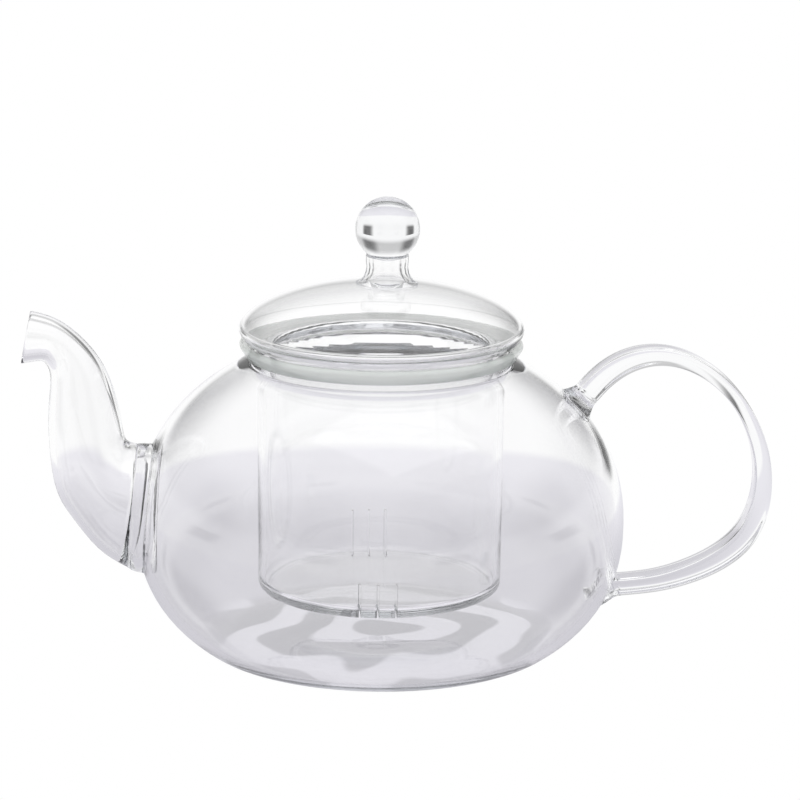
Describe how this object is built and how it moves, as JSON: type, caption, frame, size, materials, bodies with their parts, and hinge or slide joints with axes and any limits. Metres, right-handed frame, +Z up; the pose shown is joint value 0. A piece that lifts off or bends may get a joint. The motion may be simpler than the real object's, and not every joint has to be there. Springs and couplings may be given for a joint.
{
  "type": "glass teapot",
  "caption": "Clear glass teapot with a curved spout, a strap handle, a lift-out glass infuser cup with fine slits and a domed lid with a ball knob.",
  "frame": {"origin": "centre of the flat base, on the surface that the teapot stands on", "axes": "+Z up, -X towards the spout, +X towards the handle; the XZ plane is the plane of symmetry"},
  "size_m": [0.2094, 0.136, 0.1274],
  "materials": {
    "clear_glass": "blown clear borosilicate, fire-polished",
    "solid_glass": "solid drawn clear borosilicate, fire-polished",
    "flange_glass": "thick pressed rim with a faint green-grey edge tint"
  },
  "bodies": {
    "pot": {"bowl": "clear_glass", "spout_tube": "clear_glass", "spout_joint": "clear_glass", "handle_strap": "solid_glass", "handle_upper_joint": "solid_glass", "handle_lower_joint": "solid_glass"},
    "infuser": {"infuser_cup": "clear_glass", "infuser_flange": "flange_glass"},
    "lid": {"lid_dome": "clear_glass", "lid_collar": "clear_glass", "knob_neck": "solid_glass", "knob_ball": "solid_glass"}
  },
  "joints": [
    {"name": "infuser_lift", "type": "slide", "parent": "pot", "child": "infuser", "axis": [0, 0, 1], "range_m": [0, 0.085]},
    {"name": "lid_lift", "type": "slide", "parent": "infuser", "child": "lid", "axis": [0, 0, 1], "range_m": [0, 0.035]}
  ]
}
